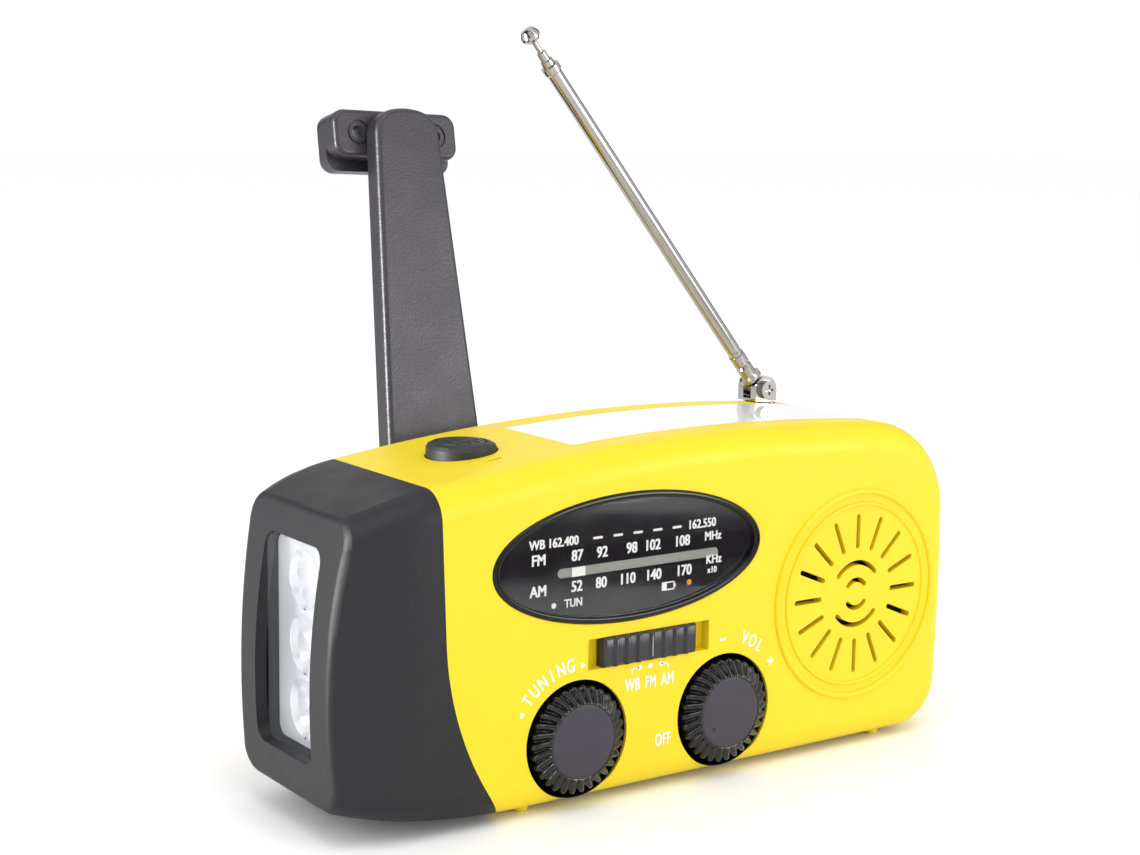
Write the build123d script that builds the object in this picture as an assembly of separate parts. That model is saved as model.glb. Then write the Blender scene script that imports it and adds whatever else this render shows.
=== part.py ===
"""Hand-crank emergency radio with a torch, solar panel and telescopic antenna.

Millimetres. The origin is at floor level under the middle of the case. +X runs
along the case away from the torch, +Y runs to the back, +Z is up. The crank arm
is modelled unfolded and the antenna leans over the case, collapsed.
"""
from build123d import *
from math import acos, atan2, cos, degrees, hypot, pi, radians, sin, sqrt, tan
import os

# ---- case ------------------------------------------------------------------
HALF_LENGTH = 63.4
HALF_DEPTH = 19.0         # case front to back is 38
FOOT_HEIGHT = 1.0
WALL = 2.0
ARCH_RADIUS = 390.0       # the top is a long flat arch
ARCH_X = 14.0
ARCH_Z = 59.3
TOP_CORNER = 17.0
BOTTOM_CORNER = 9.0
EDGE_ROUND = 4.6          # front and back edges of the case
PARTING_Y = 13.0          # front case ends, back cover begins
END_X = 61.3              # the torch end's lower edge
END_TOP_X = 59.3
END_BULGE_X = 62.3
END_LOW_Z = 5.4
END_HIGH_Z = 49.8
SHOULDER_X = -45.0         # the top falls away more steeply from here
END_HALF_DEPTH = 15.4
PAST_END = 72.0           # the torch end's sides are carried on to here, then cut off
BEZEL_TAPER_X = 47.0      # where the bezel starts to narrow
BEZEL_EDGE = 1.5
GAP = 0.1                 # fitting gap between fixed parts
RUN = 0.05                # running clearance of a shaft in its hole

# ---- torch -----------------------------------------------------------------
LAMP_HALF_Y = 9.2
LAMP_LOW_Z = 11.9
LAMP_HIGH_Z = 45.8
LAMP_FACE_X = -60.2
CUP_Z = 28.8
CUP_PITCH = 10.4
CUP_RADIUS = 5.1
CUP_COUNT = 3

# ---- front controls --------------------------------------------------------
KNOB_Z = 11.9
TUNING_X = -19.45
VOLUME_X = 10.8
WELL_RADIUS = 9.86
WELL_FLOOR_Y = -13.9
WELL_WALL = 0.9
KNOB_RADIUS = 9.05
KNOB_FACE_RADIUS = 5.7
KNOB_FACE_Y = -20.9
KNOB_RIM_Y = -19.6
KNOB_BACK_Y = -14.3
SHAFT_RADIUS = 2.0
SLOT_LOW_X = -17.6
SLOT_HIGH_X = 7.2
SLOT_LOW_Z = 23.0
SLOT_HIGH_Z = 28.1
SLOT_DEPTH = 1.9
SLIDER_LENGTH = 19.2
DIAL_X = -9.1
DIAL_Z = 40.8
DIAL_RX = 26.8
DIAL_RZ = 10.6
SCALE_LOW_X = -23.2
SCALE_HIGH_X = 9.1
SCALE_Z = 39.4
SCALE_HEIGHT = 1.6
POINTER_X = -19.4
POINTER_WIDTH = 2.2
POINTER_TRAVEL = 26.5
LED_SPOTS = ((-27.2, 34.4), (10.9, 36.9))

# ---- speaker ---------------------------------------------------------------
SPEAKER_X = 40.4
SPEAKER_Z = 28.3
BEAD_RADII = (18.3, 16.1)
BEAD_SIZES = (0.55, 0.35)
SLIT_COUNT = 16
SLIT_INNER = 8.1
SLIT_OUTER = 14.3
SLIT_WIDTH = 0.9
ARC_SLIT_RADII = (5.6, 2.5)
ARC_SLIT_HALF_ANGLE = 50.0

# ---- top -------------------------------------------------------------------
BUTTON_X = -29.9
BUTTON_RADIUS = 5.8
BUTTON_TOP_Z = 58.6
BUTTON_RING_RADIUS = 8.9
SOLAR_LOW_X = -15.0
SOLAR_HIGH_X = 50.0
SOLAR_HALF_Y = 10.0
SOLAR_THICKNESS = 1.0
CELL_MARGIN = 2.5

# ---- antenna ---------------------------------------------------------------
MAST_X = 44.5
MAST_Y = 14.2
MAST_Z = 60.6
MAST_LEAN = 39.6          # from upright, towards the torch
TUBE_RADII = (1.35, 1.12, 0.8, 0.45)
TUBE_BORES = (1.17, 0.85, 0.5)
TUBE_STARTS = (8.6, 12.0, 14.0, 16.0)
TUBE_ENDS = (76.0, 77.1, 78.8, 81.1)
TIP_RADIUS = 1.7
TIP_END = 83.6

# ---- crank -----------------------------------------------------------------
CRANK_X = -20.7
CRANK_Z = 29.0
CRANK_TURN = 2.2          # the arm's turn from upright, towards +X
ARM_LEAN = 14.0           # the arm's lean back from the case
HINGE_OFFSET = 6.0
HINGE_Y = 22.5
HUB_RADIUS = 13.0
HUB_FRONT_Y = 19.2
HUB_BACK_Y = 20.6
ARM_LENGTH = 78.5
ARM_FACE = 2.8            # hinge axis to the smooth face
ARM_UNDER = 1.0           # hinge axis to the underside
ARM_WIDTHS = ((1.0, 20.6), (22.5, 18.4), (76.8, 12.6))
ARM_TIP_ROUND = 4.6
GRIP_AT = 74.6
GRIP_LENGTH = 25.0
GRIP_FRONT_WIDTH = 8.4
GRIP_BACK_WIDTH = 10.4
GRIP_BACK_DROP = 1.0      # the outer half sits lower than the inner one
GRIP_NEAR = 1.4
GRIP_PARTING = 5.1
GRIP_FAR = 9.3
RECESS_X = (34.8, 60.6)
RECESS_Z = (21.8, 36.2)
RECESS_Y = 12.0
RECESS_WALL = 0.6

# ---- generator gears -------------------------------------------------------
GEAR_MODULE = 0.6
RACK_MODULE = 0.7
PRESSURE_ANGLE = 25.0
ADDENDUM = 0.75           # stub teeth, in modules
DEDENDUM = 1.0
BACKLASH = 0.12
CRANK_TEETH = 44
STEP_SMALL_TEETH = 12
STEP_LARGE_TEETH = 36
ROTOR_TEETH = 10
TUNING_TEETH = 16
STEP_DIRECTION = 45.0     # from the crank axis to the step gear
ROTOR_DIRECTION = -45.0   # from the step gear to the rotor

# ---- power -----------------------------------------------------------------
BATTERY_RADIUS = 7.1
BATTERY_X = (4.0, 54.0)
BATTERY_Y = 9.4
BATTERY_Z = 11.0
PORT_LOW_Z = 19.8
PORT_HIGH_Z = 32.2
PORT_HALF_Y = 11.3
PORT_FACE_X = 62.6
USB_Y = -3.2
USB_Z = 26.0
MICRO_Y = 7.3

# ---- fasteners, doors and sockets -------------------------------------------
CASE_SCREWS = ((-31.5, 6.3), (-40.0, 48.0), (52.5, 46.5), (57.2, 8.8))
POST_RADIUS = 2.5
SCREW_RADIUS = 1.25
SCREW_HEAD_RADIUS = 2.5
SCREW_TIP_Y = 8.0
DOOR_X = (-1.5, 52.0)
DOOR_Z = (5.2, 17.8)
DOOR_SCREW = (1.2, 11.5)
USB_SIZE = (13.1, 5.7)
MICRO_SIZE = (6.6, 2.6)

# ---- inner parts -----------------------------------------------------------
LAMP_BOARD_X = -50.4
PINION_Y = (-12.6, -10.6)
RACK_TOP_Z = 20.3
BEAM_Z = (32.0, 34.0)
BOARD_Y = (-5.0, -3.4)

# ---- generator and grip ----------------------------------------------------
GEARBOX_POSTS = ((-37.3, 30.0), (10.5, 44.0), (-6.5, 13.0))
PLATE_Y = (7.7, 8.9)
GENERATOR_RADIUS = 10.5
ROTOR_RADIUS = 7.0
AXLE_RADIUS = 1.5
CRANK_SHAFT_RADIUS = 3.0
CRANK_TAIL_RADIUS = 2.0
GRIP_SCREW_X = 7.8

FAR = 200.0               # larger than the whole radio


# ---- small helpers ---------------------------------------------------------
def upright(y):
    """The XZ plane at the given Y: local x is X, local y is Z."""
    return Plane.XZ.offset(-y)


def slab(sketch, y0, y1, frame=None):
    """Extrude a sketch in X and Z from Y = y0 to Y = y1."""
    base = upright(y0) if frame is None else frame.offset(-y0)
    return extrude(base * sketch, amount=-(y1 - y0))


def block(x, y, z):
    """A box from its ranges along X, Y and Z."""
    return Pos(sum(x) / 2, sum(y) / 2, sum(z) / 2) * Box(x[1] - x[0], y[1] - y[0], z[1] - z[0])


def disc(x, z, radius, y0, y1):
    """A round plate or bar along Y."""
    return slab(Pos(x, z) * Circle(radius), y0, y1)


def turned(points):
    """Revolve an outline of (radius, height) points about the local Z axis."""
    return revolve(Plane.XZ * make_face(Polyline(*points, close=True)), Axis.Z)


def turned_about_y(points, x, z):
    """Revolve an outline of (radius, Y) points about the Y direction through x, z."""
    return Pos(x, 0, z) * Rot(-90, 0, 0) * turned(points)


def one(shape):
    """The single solid of a shape that may be wrapped in a compound."""
    solids = shape.solids()
    return solids[0] if len(solids) == 1 else Compound(children=list(solids))


# ---- the case's outer form -------------------------------------------------
def arch_z(x, inset=0.0):
    """Height of the top arch at x, on the middle plane."""
    radius = ARCH_RADIUS - inset
    return ARCH_Z - ARCH_RADIUS + sqrt(radius ** 2 - (x - ARCH_X) ** 2)


def onward(arc, end_x):
    """A straight line that carries an arc on, without a kink, to the given X."""
    end, heading = arc @ 1, arc % 1
    return Line(end, (end_x, end.Y + (end_x - end.X) * heading.Y / heading.X))


def outline(inset):
    """The case's front outline, carried on past the torch end, moved inwards by inset."""
    low, side = FOOT_HEIGHT + inset, HALF_LENGTH - inset
    corner, roof = (side - 0.8, low), (side - 1.0, arch_z(side - 1.0, inset))
    shoulder = (SHOULDER_X, arch_z(SHOULDER_X, inset))
    rise = arch_z(SHOULDER_X) - ARCH_Z + ARCH_RADIUS
    fall = TangentArc(shoulder, (-END_X + inset, END_HIGH_Z - inset),
                      tangent=(-rise, SHOULDER_X - ARCH_X))
    heel = (-28.0, low)
    keel = TangentArc(heel, (-END_X + inset, END_LOW_Z + inset), tangent=(-1, 0))
    top, bottom = onward(fall, -PAST_END), onward(keel, -PAST_END)
    form = make_face([
        Line(heel, corner), ThreePointArc(corner, (side, 29.0), roof),
        ThreePointArc(roof, (ARCH_X, ARCH_Z - inset), shoulder),
        fall, top, Line(top @ 1, bottom @ 1), bottom, keel,
    ])
    form = rounded(form, corner, BOTTOM_CORNER - inset)
    return rounded(form, roof, TOP_CORNER - inset)


def rounded(face, at, radius):
    """Round the face's corner nearest to a point."""
    return fillet(min(face.vertices(), key=lambda v: hypot(v.X - at[0], v.Y - at[1])), radius)


def plan(inset):
    """The case seen from above, narrowing at the torch end, moved inwards by inset."""
    side, deep = HALF_LENGTH + 5, HALF_DEPTH - inset
    back = TangentArc((-BEZEL_TAPER_X, deep), (-END_X + inset, END_HALF_DEPTH - inset),
                      tangent=(-1, 0))
    pieces = [Line((side, deep), back @ 0), back, onward(back, -PAST_END)]
    mirrored = [mirror(piece, Plane.XZ) for piece in pieces]
    tail = pieces[-1] @ 1
    ends = [Line((side, -deep), (side, deep)), Line(tail, (tail.X, -tail.Y))]
    return make_face(pieces + mirrored + ends)


def end_form(inset):
    """Everything to the right of the bulging torch end."""
    high, low = (-END_TOP_X + inset, END_HIGH_Z), (-END_X + inset, END_LOW_Z)
    bulge = ThreePointArc(high, (-END_BULGE_X + inset, 29.0), low)
    return slab(make_face([
        bulge, Line(low, (-END_X + 1, -5)), Line((-END_X + 1, -5), (FAR, -5)), Line((FAR, -5), (FAR, 80)),
        Line((FAR, 80), (-END_TOP_X + 5, 80)), Line((-END_TOP_X + 5, 80), high)]), -FAR, FAR)


def envelope(inset=0.0):
    """The case's closed outer form, moved inwards by inset."""
    depth = HALF_DEPTH - inset
    body = slab(outline(inset), -depth, depth) & extrude(plan(inset), amount=FAR)
    for sign in (-1, 1):
        rims = [e for e in body.edges() if sign * e.center().Y > 1
                and e.center().X > -PAST_END + 0.5 and not is_seam(e, inset)]
        body = fillet(rims, EDGE_ROUND - inset)
    body = one(body & end_form(inset))
    if inset:
        return body
    end = max((f for f in body.faces() if f.center().X < -END_TOP_X), key=lambda f: f.area)
    return one(fillet(end.outer_wire().edges(), BEZEL_EDGE))


def is_seam(edge, inset):
    """True for the upright line where the flat front meets the narrowing bezel."""
    a, b = edge.position_at(0), edge.position_at(1)
    return abs(a.X - b.X) < 0.05 and a.X < 0 and abs(a.Z - b.Z) > 10


def bezel_side(sign):
    """Everything on the torch side (sign -1) or the other side of the bezel's edge line."""
    edge = [Line((-46.3, 80), (-44.1, 30.3)), ThreePointArc((-44.1, 30.3), (-40.35, 13.8), (-32.1, 0)),
            Line((-32.1, 0), (-31.0, -5))]
    far = sign * FAR
    close = [Line((-31.0, -5), (far, -5)), Line((far, -5), (far, 80)), Line((far, 80), (-46.3, 80))]
    return slab(make_face(edge + close), -FAR, FAR)


# ---- gears -----------------------------------------------------------------
def at_angle(radius, angle):
    """A point from its radius and its angle in radians."""
    return (radius * cos(angle), radius * sin(angle))


def gear_face(teeth, module, phase):
    """An involute gear with one tooth centred at the phase angle."""
    pitch, pressure = module * teeth / 2, radians(PRESSURE_ANGLE)
    base, tip, root = pitch * cos(pressure), pitch + ADDENDUM * module, pitch - DEDENDUM * module
    half_tooth = (pi * module - BACKLASH) / (4 * pitch)

    def half_angle(radius):
        roll = acos(min(1.0, base / radius))
        return half_tooth + tan(pressure) - pressure - tan(roll) + roll

    low = max(base, root)
    radii = (low, (low + tip) / 2, tip)
    edges, last = [], None
    for tooth in range(teeth):
        middle = radians(phase) + 2 * pi * tooth / teeth
        rising = [at_angle(r, middle - half_angle(r)) for r in radii]
        falling = [at_angle(r, middle + half_angle(r)) for r in reversed(radii)]
        start, stop = at_angle(root, middle - half_angle(low)), at_angle(root, middle + half_angle(low))
        edges += [Line(last, start)] if last else []
        edges += [Line(start, rising[0]), Line(falling[-1], stop)] if root < low else []
        edges += [ThreePointArc(*rising), Line(rising[-1], falling[0]), ThreePointArc(*falling)]
        first, last = (start if tooth == 0 else first), stop
    return make_face(edges + [Line(last, first)])


def gear(teeth, module, phase, x, z, y0, y1):
    """A spur gear on an axis along Y."""
    return slab(Pos(x, z) * gear_face(teeth, module, phase), y0, y1)


def rack_face(pitch_z, low_x, high_x, top_z, gap_x):
    """A rack with teeth downwards and a gap centred at gap_x."""
    module, step = RACK_MODULE, pi * RACK_MODULE
    lean = tan(radians(PRESSURE_ANGLE))
    half = (step - BACKLASH) / 4
    tip, root = pitch_z - ADDENDUM * module, pitch_z + DEDENDUM * module
    points = [(low_x, root)]
    count = int((high_x - low_x) / step) + 2
    for index in range(-count, count):
        x = gap_x + (index + 0.5) * step
        foot, crest = half + DEDENDUM * module * lean, half - ADDENDUM * module * lean
        if low_x < x - foot and x + foot < high_x:
            points += [(x - foot, root), (x - crest, tip), (x + crest, tip), (x + foot, root)]
    points += [(high_x, root), (high_x, top_z), (low_x, top_z)]
    return make_face(Polyline(*points, close=True))


def centre_distance(teeth_a, teeth_b):
    """Distance between the axes of two meshed gears."""
    return GEAR_MODULE * (teeth_a + teeth_b) / 2


def step_axis():
    """X and Z of the step gear's axis."""
    reach, turn = centre_distance(CRANK_TEETH, STEP_SMALL_TEETH), radians(STEP_DIRECTION)
    return CRANK_X + reach * cos(turn), CRANK_Z + reach * sin(turn)


def rotor_axis():
    """X and Z of the generator rotor's axis."""
    x, z = step_axis()
    reach, turn = centre_distance(STEP_LARGE_TEETH, ROTOR_TEETH), radians(ROTOR_DIRECTION)
    return x + reach * cos(turn), z + reach * sin(turn)


# ---- case pieces -----------------------------------------------------------
def well(x):
    """The cup behind the front wall that a knob sits in."""
    outer = disc(x, KNOB_Z, WELL_RADIUS + WELL_WALL, -HALF_DEPTH + WALL / 2, WELL_FLOOR_Y + WELL_WALL)
    return outer - disc(x, KNOB_Z, WELL_RADIUS, -HALF_DEPTH, WELL_FLOOR_Y)


def well_hole(x):
    """What a knob's well takes out of the front case."""
    mouth = disc(x, KNOB_Z, WELL_RADIUS, -HALF_DEPTH - 1, WELL_FLOOR_Y)
    return mouth + disc(x, KNOB_Z, SHAFT_RADIUS + 0.4, WELL_FLOOR_Y, WELL_FLOOR_Y + 2 * WELL_WALL)


def bead(radius, size):
    """A raised ring round the speaker grille."""
    ring = Pos(SPEAKER_X, -HALF_DEPTH, SPEAKER_Z) * Rot(90, 0, 0) * Torus(radius, size)
    return ring & block((0, HALF_LENGTH), (-HALF_DEPTH - 1, -HALF_DEPTH + 0.3), (0, 60))


def grille():
    """The slits of the speaker grille, through the front wall."""
    sketch = Sketch()
    middle, length = (SLIT_INNER + SLIT_OUTER) / 2, SLIT_OUTER - SLIT_INNER
    for index in range(SLIT_COUNT):
        sketch += Rot(0, 0, 360 * index / SLIT_COUNT) * Pos(middle, 0) * SlotOverall(length, SLIT_WIDTH)
    for radius in ARC_SLIT_RADII:
        for start in (90, 270):
            ring = CenterArc((0, 0), radius, start - ARC_SLIT_HALF_ANGLE, 2 * ARC_SLIT_HALF_ANGLE)
            sketch += SlotArc(ring, SLIT_WIDTH)
    return slab(Pos(SPEAKER_X, SPEAKER_Z) * sketch, -HALF_DEPTH - 1, -HALF_DEPTH + WALL + 0.5)


def ellipse(margin):
    """The dial's outline, moved outwards by margin."""
    return Pos(DIAL_X, DIAL_Z) * Ellipse(DIAL_RX + margin, DIAL_RZ + margin)


def slot_pocket():
    """The band switch's pocket and the slit in its floor."""
    floor_y = -HALF_DEPTH + SLOT_DEPTH
    middle = (SLOT_LOW_X + SLOT_HIGH_X) / 2
    pocket = block((SLOT_LOW_X, SLOT_HIGH_X), (-HALF_DEPTH - 1, floor_y), (SLOT_LOW_Z, SLOT_HIGH_Z))
    return pocket + block((middle - 5, middle + 5), (floor_y, floor_y + 2), (24.6, 26.6))


def solar_zone(margin, y_margin):
    """A tall box over the solar panel, moved inwards by a margin."""
    return block((SOLAR_LOW_X + margin, SOLAR_HIGH_X - margin),
                 (-SOLAR_HALF_Y + y_margin, SOLAR_HALF_Y - y_margin), (30, 80))


def front_case(shell, outer, solar_skin):
    """The yellow front, top and bottom of the case."""
    body = shell & bezel_side(1) & block((-FAR, FAR), (-FAR, PARTING_Y), (-FAR, FAR))
    inside = outer & block((-40, HALF_LENGTH), (-HALF_DEPTH, PARTING_Y), (0, 60))
    body += (well(TUNING_X) + well(VOLUME_X)) & inside
    body += block((SLOT_LOW_X - 1.2, SLOT_HIGH_X + 1.2), (-HALF_DEPTH + 1, -15.9),
                  (SLOT_LOW_Z - 1.2, SLOT_HIGH_Z + 1.2))
    for x, z in CASE_SCREWS:
        body += disc(x, z, POST_RADIUS, -HALF_DEPTH + 1, PARTING_Y) & inside
    for radius, size in zip(BEAD_RADII, BEAD_SIZES):
        body += bead(radius, size)
    body -= well_hole(TUNING_X) + well_hole(VOLUME_X)
    body -= grille() + slot_pocket()
    body -= slab(ellipse(GAP), -HALF_DEPTH - 1, -17.8) + slab(ellipse(-1.5), -18, -16.5)
    for x, z in CASE_SCREWS:
        body -= disc(x, z, SCREW_RADIUS, SCREW_TIP_Y - 1, PARTING_Y + 1)
    for x, z in LED_SPOTS:
        body -= disc(x, z, 1.0, -18, -16)
    body -= Pos(BUTTON_X, 0, 55) * Cylinder(BUTTON_RADIUS + 0.2, 12)
    body -= Pos(BUTTON_X, 0, arch_z(BUTTON_X) - 0.1) * Torus(BUTTON_RING_RADIUS, 0.35)
    body -= solar_skin & solar_zone(-GAP, -GAP)
    body -= solar_zone(CELL_MARGIN - 0.3, CELL_MARGIN - 0.3)
    body -= mast_bore()
    body -= block((PORT_FACE_X, 70), (-PORT_HALF_Y - GAP, PORT_HALF_Y + GAP), (PORT_LOW_Z, PORT_HIGH_Z))
    body -= usb_block(0.15, 70) + micro_block(0.15, 70)
    return one(body)


def usb_block(margin, end_x):
    """The space of the larger charging socket."""
    width, height = USB_SIZE
    return block((51.0 - margin, end_x), (USB_Y - width / 2 - margin, USB_Y + width / 2 + margin),
                 (USB_Z - height / 2 - margin, USB_Z + height / 2 + margin))


def micro_block(margin, end_x):
    """The space of the smaller charging socket."""
    width, height = MICRO_SIZE
    low = USB_Z - USB_SIZE[1] / 2
    return block((56.0 - margin, end_x), (MICRO_Y - width / 2 - margin, MICRO_Y + width / 2 + margin),
                 (low - margin, low + height + margin))


def mast_bore():
    """The hole in the top for the antenna's bushing."""
    return Pos(MAST_X, MAST_Y, 55.5) * Cylinder(3.45, 13)


def recess_box(margin, mouth_y):
    """The recess for the folded grip, moved outwards by a margin."""
    return block((RECESS_X[0] - margin, RECESS_X[1] + margin), (RECESS_Y - margin, mouth_y),
                 (RECESS_Z[0] - margin, RECESS_Z[1] + margin))


def rear_case(shell):
    """The yellow back cover with the grip's recess and the battery opening."""
    body = shell & bezel_side(1) & block((-FAR, FAR), (PARTING_Y, FAR), (-FAR, FAR))
    body += recess_box(RECESS_WALL, HALF_DEPTH - 0.5)
    body += disc(CRANK_X, CRANK_Z, 6.5, 15.2, HALF_DEPTH - 0.5)
    body += block((DOOR_X[0] - 1.5, 3.7), (15.0, HALF_DEPTH - 0.5), (DOOR_Z[0] - 1.2, DOOR_Z[1] + 1.2))
    for x, z in CASE_SCREWS:
        body += disc(x, z, POST_RADIUS, PARTING_Y, HALF_DEPTH - 1)
    body -= recess_box(0, HALF_DEPTH + 1)
    body -= disc(CRANK_X, CRANK_Z, 5.0, 15, HALF_DEPTH + 1)
    body -= block(DOOR_X, (17.15, HALF_DEPTH + 1), DOOR_Z)
    body -= block((3.7, DOOR_X[1]), (14, HALF_DEPTH + 1), DOOR_Z)
    body -= disc(*DOOR_SCREW, 0.9, 14, HALF_DEPTH)
    for x, z in CASE_SCREWS:
        body -= disc(x, z, SCREW_RADIUS + 0.1, PARTING_Y - 1, HALF_DEPTH)
        body -= disc(x, z, SCREW_HEAD_RADIUS + 0.2, 17.9, HALF_DEPTH + 1)
    body -= mast_bore()
    return one(body)


def lamp_bezel(shell):
    """The black end housing with the torch window's opening."""
    body = shell & bezel_side(-1)
    middle_z = (LAMP_LOW_Z + LAMP_HIGH_Z) / 2
    mouth = Plane.YZ * Pos(0, middle_z) * RectangleRounded(2 * LAMP_HALF_Y, LAMP_HIGH_Z - LAMP_LOW_Z, 2.5)
    body -= Pos(-70, 0, 0) * extrude(mouth, amount=14)
    return one(body)


def feet():
    """Five small feet, one under each corner and one in the middle."""
    foot = turned([(0, 0), (0.9, 0), (1.25, 0.45), (1.25, FOOT_HEIGHT), (0, FOOT_HEIGHT)])
    places = [(0, 0)] + [(x, y) for x in (-27.0, 50.0) for y in (-14.0, 12.0)]
    return Compound(children=[one(Pos(x, y, 0) * foot) for x, y in places])


# ---- torch pieces ----------------------------------------------------------
def lamp_front(margin, x0, x1):
    """A rounded block the size of the torch window's opening."""
    low, high = LAMP_LOW_Z + margin, LAMP_HIGH_Z - margin
    face = RectangleRounded(2 * (LAMP_HALF_Y - margin), high - low, 2.5 - margin)
    return Pos(x0, 0, 0) * extrude(Plane.YZ * Pos(0, (low + high) / 2) * face, amount=x1 - x0)


def cups():
    """Heights of the three reflector cups."""
    return [CUP_Z + CUP_PITCH * (index - 1) for index in range(CUP_COUNT)]


def cup_form(z):
    """One reflector cup, opening towards the torch's end."""
    outline = [(0, -7.2), (1.9, -7.2), (2.6, -5.2), (3.5, -2.6), (4.2, -0.9), (CUP_RADIUS, 0.4), (0, 0.4)]
    return Pos(LAMP_FACE_X + 1.8, 0, z) * Rot(0, -90, 0) * turned(outline)


def lamp_window():
    """The clear window."""
    return one(lamp_front(0.15, LAMP_FACE_X, LAMP_FACE_X + 1.7))


def lamp_reflector():
    """The chromed block with three cups."""
    body = lamp_front(0.4, LAMP_FACE_X + 1.8, LAMP_FACE_X + 9.0)
    for z in cups():
        body -= cup_form(z)
        body -= Pos(LAMP_FACE_X + 8, 0, z) * Rot(0, 90, 0) * Cylinder(1.7, 4)
    return one(body)


def lamp_leds():
    """Three domed lamps, one in each cup."""
    outline = [(0, 0), (1.6, 0), (1.6, 0.6), (1.45, 0.6), (1.45, 3.2), (1.1, 4.1), (0.5, 4.6), (0, 4.7)]
    led = Rot(0, -90, 0) * turned(outline)
    return Compound(children=[one(Pos(LAMP_BOARD_X, 0, z) * led) for z in cups()])


def lamp_board():
    """The small circuit board behind the reflector."""
    return block((LAMP_BOARD_X, LAMP_BOARD_X + 1.2), (-9.5, 9.5), (13.0, 45.0))


def lamp_switch():
    """The push switch under the torch button."""
    body = block((BUTTON_X - 3, BUTTON_X + 3), (-3, 3), (44.0, 48.6))
    return one(body + Pos(BUTTON_X, 0, 49.2) * Cylinder(1.6, 1.6))


def lamp_button():
    """The raised rubber button with a bevelled rim."""
    rim = BUTTON_RADIUS
    outline = [(0, 51.9), (rim + 0.9, 51.9), (rim + 0.9, 52.7), (rim, 52.7), (rim, BUTTON_TOP_Z - 0.9),
               (rim - 0.3, BUTTON_TOP_Z - 0.35), (rim - 1.0, BUTTON_TOP_Z), (0, BUTTON_TOP_Z)]
    button = Pos(BUTTON_X, 0, 0) * turned(outline)
    return one(button - Pos(BUTTON_X, 0, BUTTON_TOP_Z) * Torus(rim - 1.7, 0.2))


# ---- dial, pointer and controls --------------------------------------------
def dial_window():
    """The clear oval lens with a bevelled rim."""
    lens = slab(ellipse(0), -19.5, -18.35)
    rim = lens.faces().sort_by(Axis.Y)[0].edges()
    return one(chamfer(rim, 0.45))


def dial_plate():
    """The black oval plate behind the lens, with the scale's slot."""
    middle, length = (SCALE_LOW_X + SCALE_HIGH_X) / 2, SCALE_HIGH_X - SCALE_LOW_X
    slot = Pos(middle, SCALE_Z) * SlotOverall(length, SCALE_HEIGHT)
    return one(slab(ellipse(0) - slot, -18.35, -17.8))


def dial_backing():
    """The pale strip that shows through the scale's slot."""
    return block((SCALE_LOW_X - 3, SCALE_HIGH_X + 0.7), (-15.6, -15.0), (SCALE_Z - 3, SCALE_Z + 3))


def indicator_leds():
    """The tuning lamp and the charging lamp behind the dial plate."""
    lamps = [disc(x, z, 0.9, -17.7, -14.5) for x, z in LED_SPOTS]
    return Compound(children=[one(lamp) for lamp in lamps])


def knob(x):
    """A round knob with a bevelled rim."""
    outline = [(SHAFT_RADIUS, KNOB_BACK_Y), (KNOB_RADIUS, KNOB_BACK_Y), (KNOB_RADIUS, KNOB_RIM_Y + 0.5),
               (KNOB_RADIUS - 0.6, KNOB_RIM_Y), (KNOB_FACE_RADIUS, KNOB_FACE_Y), (0, KNOB_FACE_Y),
               (0, KNOB_FACE_Y + 2), (SHAFT_RADIUS, KNOB_FACE_Y + 2)]
    return one(turned_about_y(outline, x, KNOB_Z))


def tuning_pinion():
    """The tuning shaft with the pinion that drives the pointer."""
    shaft = disc(TUNING_X, KNOB_Z, SHAFT_RADIUS, KNOB_FACE_Y + 2, 1.5)
    return one(shaft + gear(TUNING_TEETH, RACK_MODULE, 90, TUNING_X, KNOB_Z, *PINION_Y))


def volume_shaft():
    """The volume control's shaft."""
    return disc(VOLUME_X, KNOB_Z, SHAFT_RADIUS, KNOB_FACE_Y + 2, -6.0)


def pointer_carriage():
    """The rack, its arm and the white pointer behind the dial."""
    pitch_z = KNOB_Z + RACK_MODULE * TUNING_TEETH / 2
    low_x = TUNING_X - POINTER_TRAVEL - 1.2
    body = slab(rack_face(pitch_z, low_x, TUNING_X + 3.0, RACK_TOP_Z, TUNING_X), *PINION_Y)
    body += block((low_x, low_x + 2), PINION_Y, (RACK_TOP_Z - 1, BEAM_Z[1]))
    half = POINTER_WIDTH / 2
    body += block((low_x, POINTER_X + half), PINION_Y, BEAM_Z)
    body += block((POINTER_X - half, POINTER_X + half), (-16.8, PINION_Y[1]), BEAM_Z)
    body += block((POINTER_X - half, POINTER_X + half), (-16.8, -16.0), (BEAM_Z[0], SCALE_Z + 1.6))
    return one(body)


def band_slider():
    """The ribbed slider of the band switch."""
    middle = (SLOT_LOW_X + SLOT_HIGH_X) / 2
    x = (middle - SLIDER_LENGTH / 2, middle + SLIDER_LENGTH / 2)
    body = block(x, (-20.1, -17.2), (SLOT_LOW_Z + 0.1, SLOT_HIGH_Z - 0.1))
    for index in range(-4, 5):
        at = middle + index * 2.0
        body -= block((at - 0.3, at + 0.3), (-21, -19.6), (SLOT_LOW_Z, SLOT_HIGH_Z))
    return one(body + block((middle - 1, middle + 1), (-17.2, -14.2), (25.0, 26.2)))


def band_switch_body():
    """The band switch behind the slider."""
    middle = (SLOT_LOW_X + SLOT_HIGH_X) / 2
    body = block((middle - 9.5, middle + 9.5), (-15.8, BOARD_Y[0]), (21.7, 29.6))
    return one(body - block((middle - 5, middle + 5), (-16, -13.9), (24.4, 26.8)))


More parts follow.
